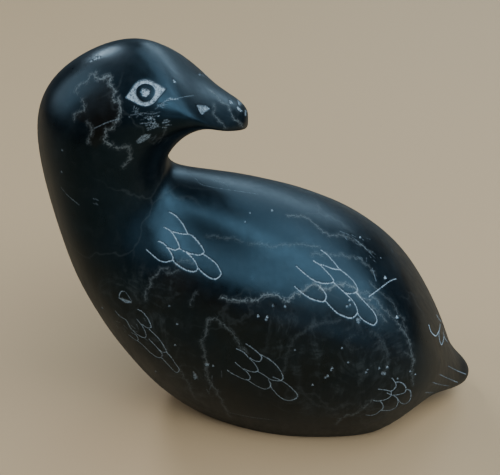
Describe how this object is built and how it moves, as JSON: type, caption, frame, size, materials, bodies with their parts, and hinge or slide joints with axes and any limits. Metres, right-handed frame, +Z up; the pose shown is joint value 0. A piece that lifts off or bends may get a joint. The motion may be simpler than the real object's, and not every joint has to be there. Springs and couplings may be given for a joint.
{
  "type": "soapstone bird carving",
  "caption": "Carved and polished soapstone bird resting on its flat underside, with its head turned back over the tail and feathers scratched into the polish.",
  "frame": {"origin": "middle of the carving's outer box on the flat underside it rests on", "axes": "+Z up, +X towards the tail and the bill's point, -X towards the breast, +Y towards the bird's right side"},
  "size_m": [0.1684, 0.0868, 0.1531],
  "materials": {
    "soapstone": "polished dark soapstone with pale scratched lines"
  },
  "bodies": {
    "root": {"soapstone_bird": "soapstone"}
  },
  "joints": []
}
